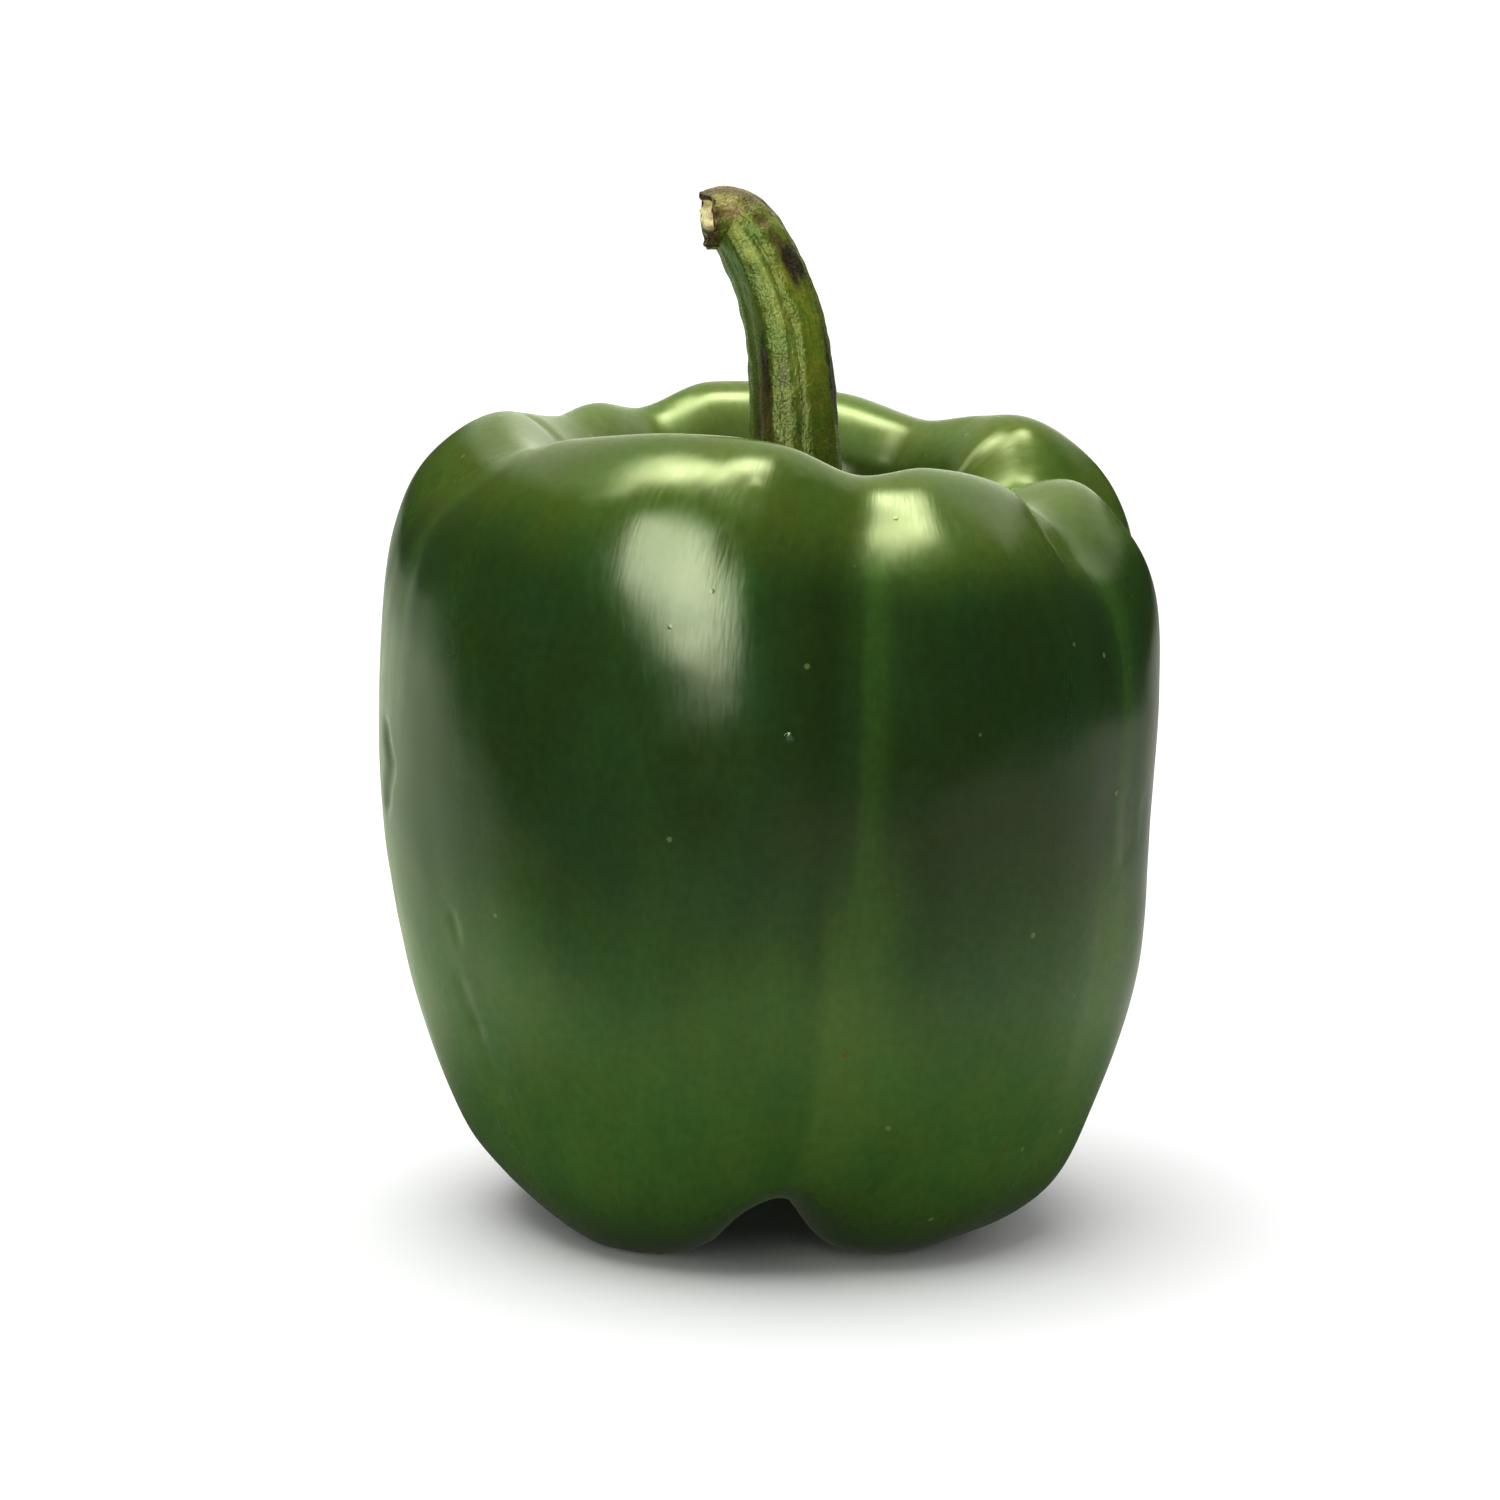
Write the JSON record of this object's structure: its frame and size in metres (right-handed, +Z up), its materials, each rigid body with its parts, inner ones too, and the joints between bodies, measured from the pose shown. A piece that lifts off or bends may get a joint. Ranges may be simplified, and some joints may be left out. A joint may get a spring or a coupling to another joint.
{
  "type": "bell pepper",
  "caption": "Blocky lobed green bell pepper standing on its base lobes, with a toothed calyx and a curved broken stem in its top hollow.",
  "frame": {"origin": "middle of the pepper's footprint box, on the surface that its base lobes stand on", "axes": "+Z up along the fruit's core and stem; -Y is the side with the deep front groove, which faces the picture's camera; the stem's tip leans to -X"},
  "size_m": [0.0873, 0.0862, 0.116],
  "materials": {
    "fruit_skin": "waxy gloss, deep green, yellower on the shoulders and in the grooves",
    "stem_green": "ridged olive green with brown bruises, pale pith at the broken tip"
  },
  "bodies": {
    "root": {"fruit": "fruit_skin", "stem": "stem_green"}
  },
  "joints": []
}
